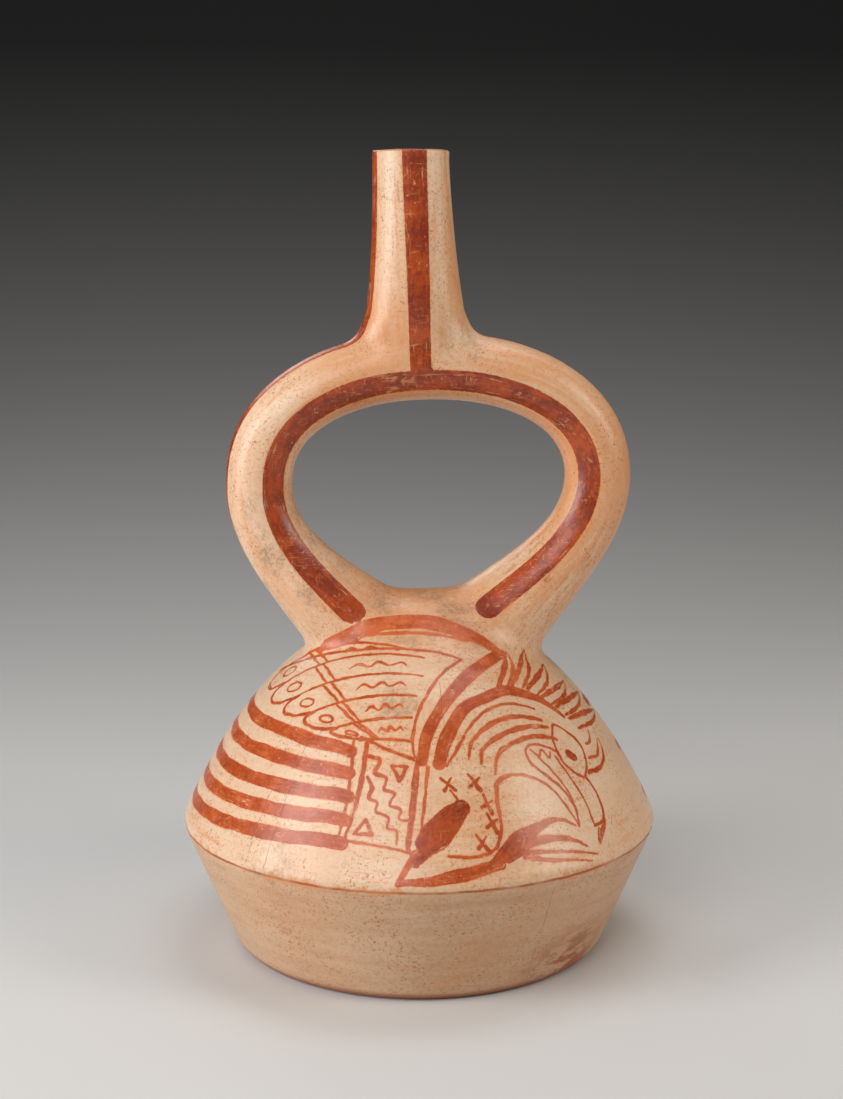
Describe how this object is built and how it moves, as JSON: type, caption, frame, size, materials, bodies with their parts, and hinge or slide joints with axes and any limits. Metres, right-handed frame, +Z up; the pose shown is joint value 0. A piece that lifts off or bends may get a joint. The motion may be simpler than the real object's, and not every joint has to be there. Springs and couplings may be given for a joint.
{
  "type": "stirrup spout vessel",
  "caption": "Hollow fired-clay bottle with a keeled round body, a flat base and a hollow stirrup handle that carries one upright spout.",
  "frame": {"origin": "centre of the flat base, on the axis of the turned body", "axes": "+Z up along the height, X along the width of the stirrup, Y from front to back"},
  "size_m": [0.1708, 0.1708, 0.2806],
  "materials": {
    "slip_painted_clay": "burnished cream slip with painted red slip, aged"
  },
  "bodies": {
    "root": {"vessel": "slip_painted_clay"}
  },
  "joints": []
}
